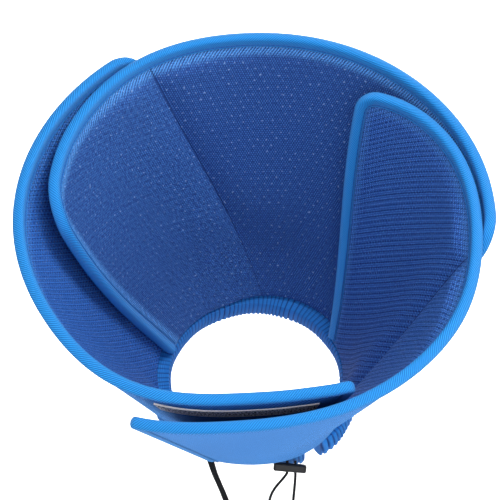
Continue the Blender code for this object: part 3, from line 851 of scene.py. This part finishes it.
# The roll's outline: how far over the cloth (1 at the lip), and how far from its middle (1 at
# the plump part). The last four points are the groove that the cloth lies in.
ROLL_OUTLINE = (
    (1.00, -0.74), (0.98, -0.88), (0.93, -0.91), (0.88, -0.78), (0.83, -0.72), (0.77, -0.80),
    (0.66, -0.88), (0.50, -0.95), (0.30, -1.10), (0.08, -1.12), (-0.09, -0.90), (-0.18, -0.50),
    (-0.21, 0.00), (-0.18, 0.50), (-0.09, 0.90), (0.08, 1.12), (0.30, 1.10), (0.50, 0.95),
    (0.66, 0.88), (0.77, 0.80), (0.83, 0.72), (0.88, 0.78), (0.93, 0.91), (0.98, 0.88),
    (1.00, 0.74), (0.99, 0.70), (0.02, 0.70), (0.02, -0.70), (0.99, -0.70),
)
STITCH_OVER, STITCH_OUT = 0.83, 0.80
STITCH_PITCH, STITCH_RADIUS = 0.0033, 0.00030
STITCH_RINGS, THREAD_SIDES = 6, 6
OUTLINE_STEP = 0.0013         # from one point of the outline to the next, on the flat tape
EDGE_STEP, EDGE_CORNER_STEPS, EDGE_ROWS = 1.2, 12, 40


def edge_stations(panel):
    """The free edges, from the neck up, along the rim and down again."""
    walls, rows = columns(panel, EDGE_STEP, EDGE_CORNER_STEPS), EDGE_ROWS
    hem = BINDING_HEM / SLANT
    up = [(walls[0][0], walls[0][1] * max(i / rows, hem)) for i in range(rows)]
    down = [(walls[-1][0], walls[-1][1] * max(i / rows, hem)) for i in reversed(range(rows))]
    return up + walls + down


def stepped(panel, turn, climb, move):
    """The turn and climb that lie a short move away along the wall."""
    here = middle(panel, turn, climb)
    along = middle(panel, turn + 0.5, climb) - here
    up = middle(panel, turn, climb + 0.01) - here
    a, b, c = along.dot(along), along.dot(up), up.dot(up)
    p, q = along.dot(move), up.dot(move)
    scale = a * c - b * b
    return turn + 0.5 * (p * c - q * b) / scale, climb + 0.01 * (q * a - p * b) / scale


def edge_frames(panel):
    """At each station: the edge's spot, the way past it, the normals there and at the lip."""
    reach = BINDING_FACE - BINDING_ROLL - EDGE_CLEARANCE
    stations = edge_stations(panel)
    places = [middle(panel, turn, climb) for turn, climb in stations]
    made, length = [], 0.0
    for i, (turn, climb) in enumerate(stations):
        before, after = places[max(i - 1, 0)], places[min(i + 1, len(places) - 1)]
        normal = outward(panel, turn, climb)
        past = (after - before).normalized().cross(normal).normalized()
        lip_turn, lip_climb = stepped(panel, turn, climb, -past * reach)
        lip = middle(panel, lip_turn, lip_climb)
        length += (places[i] - places[max(i - 1, 0)]).length
        made.append((places[i], past, normal, lip, outward(panel, lip_turn, lip_climb), length))
    return made


def make_binding(panel):
    frames = edge_frames(panel)
    half = WALL / 2 + EDGE_CLEARANCE + BINDING_CLOTH
    reach = BINDING_FACE - BINDING_ROLL - EDGE_CLEARANCE
    around = len(ROLL_OUTLINE)

    def bend(along, across):
        spot, past, normal, lip, lip_normal, _ = frames[along]
        over, out = ROLL_OUTLINE[across % around]
        if over > 0.0:
            return spot.lerp(lip, over) + normal.lerp(lip_normal, over) * half * out
        return spot - past * reach * over + normal * half * out

    def flat(along, across):
        return frames[along][5], OUTLINE_STEP * across

    bm = bent_grid(len(frames) - 1, around, bend, flat)
    bmesh.ops.transform(bm, matrix=tilt.to_4x4(), verts=bm.verts)
    bmesh.ops.remove_doubles(bm, verts=bm.verts, dist=MERGE_DISTANCE)
    cap_ends(bm)
    binding = finish_piece(f"{panel.name}_rolled_edge", bm, [twill])
    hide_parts(f"{panel.name}_binding")
    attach(binding, "root")


for panel in PANELS:
    make_binding(panel)

# %% Thread
thread, tree, shader = start_material("azure_thread", roughness=0.6)
ply = join(tree, "TexWave", {0: join(tree, "TexCoord", {}, out=3), "Scale": 500.0, "Distortion": 0.5})
tree.links.new(blend_colour(tree, ply, (0.004, 0.075, 0.360, 1.0), (0.010, 0.130, 0.520, 1.0)),
               shader.inputs["Base Color"])


def make_stitches(panel):
    """A thread in the groove beside each lip: it swells over the cloth and dips at each hole."""
    frames = edge_frames(panel)
    half = WALL / 2 + EDGE_CLEARANCE + BINDING_CLOTH
    bm = bmesh.new()
    for side in (-1.0, 1.0):
        line = [spot.lerp(lip, STITCH_OVER)
                + normal.lerp(lip_normal, STITCH_OVER) * half * side * STITCH_OUT
                for spot, _, normal, lip, lip_normal, _ in frames]
        count = int(route_length(line) / STITCH_PITCH) * STITCH_RINGS
        spots = frames_along(smooth_route(line[::2], count + 1))

        def bend(along, across):
            spot, ahead, across_thread = spots[along]
            swelling = STITCH_RADIUS * (0.25 + 0.75 * abs(math.sin(math.pi * along / STITCH_RINGS)) ** 0.5)
            a = 2.0 * math.pi * across / THREAD_SIDES
            out = across_thread * math.cos(a) + ahead.cross(across_thread) * math.sin(a)
            return spot + out * swelling

        def flat(along, across):
            return STITCH_PITCH * along / STITCH_RINGS, STITCH_RADIUS * across

        bent_grid(count, THREAD_SIDES, bend, flat, bm)
    bmesh.ops.transform(bm, matrix=tilt.to_4x4(), verts=bm.verts)
    bmesh.ops.remove_doubles(bm, verts=bm.verts, dist=MERGE_DISTANCE)
    cap_ends(bm)
    stitches = finish_piece(f"{panel.name}_stitches", bm, [thread], merge=False)
    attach(stitches, "root")


for panel in PANELS:
    make_stitches(panel)

# %% [markdown]
# ## Neck casing
#
# The casing is a tube of thin cloth, gathered by the cord inside it. Its section is carried
# round the neck like the binding's, and each gather is a ridge with a narrow fold
# beside it, a little different from the next.

# %% Casing cloth
casing_cloth, tree, shader = start_material("casing_cloth", roughness=0.6)
shader.inputs["Specular IOR Level"].default_value = 0.2
cloth = flat_cloth(tree)
weave = join(tree, "TexWave", {0: cloth, "Scale": 380.0, "Distortion": 0.4}, bands_direction="Y")
# Painted shade: the gathers' valleys are darker, while their tops keep the weave's own colour.
ridge_top = ramp(tree, join(tree, "Attribute", {}, out=2, attribute_name="ridge"), -0.9, 0.7)
lit = blend_colour(tree, weave, (0.010, 0.150, 0.500, 1.0), (0.016, 0.195, 0.600, 1.0))
tree.links.new(blend_colour(tree, ridge_top, (0.004, 0.036, 0.190, 1.0), lit), shader.inputs["Base Color"])
raise_by(tree, shader, weave, 0.00015)

# %% Casing
CASING_OUTLINE = [BandCorner(*row) for row in (
    (-0.85, 0.00, 0.0), (-0.40, 0.00, 0.0), (0.40, 0.00, 0.0), (0.85, 0.00, 0.2), (0.97, 0.14, 0.8),
    (1.00, 0.30, 1.0), (1.00, 0.50, 1.0), (0.95, 0.68, 1.0), (0.74, 0.86, 1.0), (0.45, 1.00, 1.0),
    (0.08, 1.03, 0.9), (-0.30, 1.00, 0.8), (-0.62, 0.86, 0.6), (-0.85, 0.68, 0.5),
    (-0.97, 0.48, 0.5), (-1.00, 0.30, 0.5), (-0.97, 0.12, 0.3),
)]
GATHERS, GATHER_STEPS = 122, 8
GATHER_HEIGHT = 1.25          # of the gathers, against the pleats' own depth
CASING_CUT = 0.80             # the casing's length before it was gathered, in metres
CASING_STEP = 0.0030          # from one point of its outline to the next
RIDGE_LEAN = 0.006            # from the casing's top to its lower edge, as a share of its length


def make_casing():
    rings = GATHERS * GATHER_STEPS

    def ridge(turn):
        t = GATHERS * turn + 0.35 * math.sin(41.0 * turn) + 0.20 * math.sin(97.0 * turn + 1.0)
        wave = 0.75 * abs(math.sin(math.pi * t)) ** 0.8
        wave += 0.25 * abs(math.sin(2.0 * math.pi * t + 0.5))
        return (2.0 * wave - 1.0) * (0.90 + 0.30 * math.sin(57.0 * turn + 2.0))

    def bend(along, across):
        """The ridges lean a little, so that they run aslant down the casing."""
        turn = along / rings
        corner = CASING_OUTLINE[across % len(CASING_OUTLINE)]
        return band_point(turn, corner, GATHER_HEIGHT * ridge(turn + RIDGE_LEAN * corner.down))

    bm = bent_grid(rings, len(CASING_OUTLINE), bend,
                   lambda along, across: (CASING_CUT * along / rings, CASING_STEP * across))
    bm.verts.ensure_lookup_table()
    # Each corner keeps its ridge height, which the casing cloth turns into painted shade in the valleys.
    tops = bm.verts.layers.float.new("ridge")
    for index, corner in enumerate(bm.verts):
        down = CASING_OUTLINE[index // (rings + 1) % len(CASING_OUTLINE)].down
        corner[tops] = ridge(index % (rings + 1) / rings + RIDGE_LEAN * down)
    bmesh.ops.transform(bm, matrix=tilt.to_4x4(), verts=bm.verts)
    bmesh.ops.remove_doubles(bm, verts=bm.verts, dist=MERGE_DISTANCE)
    cap_ends(bm)
    casing = finish_piece("gathered_casing", bm, [casing_cloth])
    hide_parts("neck_band")
    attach(casing, "root")


make_casing()

# %% [markdown]
# ## Closure tape
#
# A strip of loop tape is sewn to the outside of the left panel, below its rim. It is a flat
# field of grey and black fuzz between two woven edges.

# %% Tape
TAPE_WIDTH, TAPE_THICKNESS = 0.0200, 0.0012
TAPE_BELOW_RIM = 0.0215
TAPE_FROM_TURN, TAPE_TO_TURN = 8.0, 52.0
TAPE_LENGTH = 0.105
TAPE_STEPS, TAPE_ROWS = 90, 20
SELVAGE_FROM, SELVAGE_FULL = 0.0022, 0.0014   # the woven edge, from the tape's own edge
loop_tape, tree, shader = start_material("loop_tape", roughness=0.9)
cloth = flat_cloth(tree)
fuzz = join(tree, "TexNoise", {0: cloth, "Scale": 700.0, "Detail": 2.0})
field = blend_colour(tree, ramp(tree, fuzz, 0.40, 0.58), (0.060, 0.060, 0.075, 1.0),
                     (0.95, 0.95, 1.00, 1.0))
across = join(tree, "SeparateXYZ", [cloth], out=1)
from_middle = join(tree, "Math", [join(tree, "Math", [across, TAPE_WIDTH / 2], operation="SUBTRACT")],
                   operation="ABSOLUTE")
selvage = ramp(tree, from_middle, TAPE_WIDTH / 2 - SELVAGE_FROM,
               TAPE_WIDTH / 2 - SELVAGE_FULL)
tree.links.new(blend_colour(tree, selvage, field, (0.95, 0.88, 0.78, 1.0)), shader.inputs["Base Color"])
raise_by(tree, shader, fuzz, 0.0006)


def make_tape():
    high = 1.0 - TAPE_BELOW_RIM / SLANT
    low = high - TAPE_WIDTH / SLANT
    stand = WALL / 2 + EDGE_CLEARANCE + TAPE_THICKNESS / 2
    bm = bmesh.new()
    for side in (-0.5, 0.5):
        def bend(along, across, side=side):
            turn = TAPE_FROM_TURN + (TAPE_TO_TURN - TAPE_FROM_TURN) * along / TAPE_STEPS
            climb = low + (high - low) * across / TAPE_ROWS
            out = stand + TAPE_THICKNESS * side
            return middle(LEFT, turn, climb) + outward(LEFT, turn, climb) * out

        def flat(along, across):
            return TAPE_LENGTH * along / TAPE_STEPS, TAPE_WIDTH * across / TAPE_ROWS

        bent_grid(TAPE_STEPS, TAPE_ROWS, bend, flat, bm)
    bmesh.ops.bridge_loops(bm, edges=[e for e in bm.edges if len(e.link_faces) == 1])
    bmesh.ops.transform(bm, matrix=tilt.to_4x4(), verts=bm.verts)
    tape = finish_piece("loop_tape_strip", bm, [loop_tape], merge=False)
    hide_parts("closure_tape")
    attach(tape, "root")


make_tape()

# %% [markdown]
# ## Toggle
#
# The toggle is a moulded bar, and the CAD solid already has its shape and its two holes, so
# it only gets its plastic: black, satin, with the fine grain of a mould.

# %% Plastic
black_plastic, tree, shader = start_material("black_plastic", roughness=0.38,
                                             base_color=(0.012, 0.012, 0.013, 1.0))
place = join(tree, "TexCoord", {}, out=3)
grain = join(tree, "TexNoise", {0: place, "Scale": 2600.0, "Detail": 2.0})
tree.links.new(blend_colour(tree, grain, (0.005, 0.005, 0.006, 1.0), (0.011, 0.011, 0.012, 1.0)),
               shader.inputs["Base Color"])
raise_by(tree, shader, grain, 0.00006)
shader.inputs["Specular IOR Level"].default_value = 0.3
for slot in bpy.data.objects["toggle"].material_slots:
    slot.material = black_plastic
